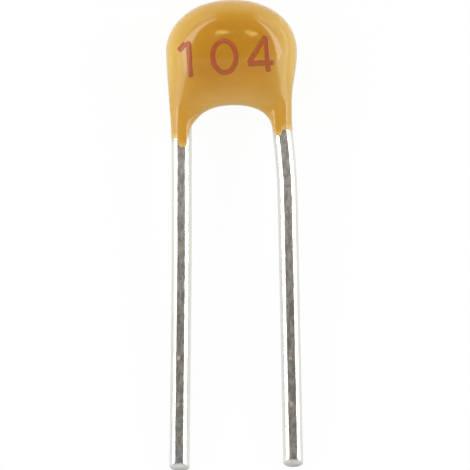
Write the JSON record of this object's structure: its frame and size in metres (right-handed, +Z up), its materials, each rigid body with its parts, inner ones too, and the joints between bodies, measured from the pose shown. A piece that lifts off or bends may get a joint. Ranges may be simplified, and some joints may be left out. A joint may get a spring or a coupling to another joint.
{
  "type": "dipped ceramic capacitor",
  "caption": "Small radial ceramic capacitor: a dome-shaped amber epoxy drop over a ceramic chip, drawn down over parallel tinned wire leads, lying on its back.",
  "frame": {"origin": "bottom centre of the bounding box, on the surface that the capacitor lies on", "axes": "+Z up, out of the printed front; +Y along the leads towards the dome; +X to the right across the two leads"},
  "size_m": [0.0036, 0.012, 0.0021],
  "materials": {
    "epoxy": "glossy dipped epoxy, amber ochre",
    "ink": "printed red-brown ink, slightly uneven",
    "tinned_wire": "bright tin plate with faint drawing marks",
    "solder": "soft tin solder, satin",
    "termination": "fired silver, matt",
    "ceramic": "fired dielectric, matt brown-grey",
    "electrode": "fired nickel film, matt"
  },
  "bodies": {
    "root": {"coating": "epoxy", "value_mark": "ink", "left_lead": "tinned_wire", "right_lead": "tinned_wire", "left_solder": "solder", "right_solder": "solder", "left_termination": "termination", "right_termination": "termination", "ceramic_block": "ceramic", "electrode_1": "electrode", "electrode_2": "electrode", "electrode_3": "electrode", "electrode_4": "electrode", "electrode_5": "electrode", "electrode_6": "electrode", "electrode_7": "electrode", "electrode_8": "electrode", "electrode_9": "electrode", "electrode_10": "electrode"}
  },
  "joints": []
}
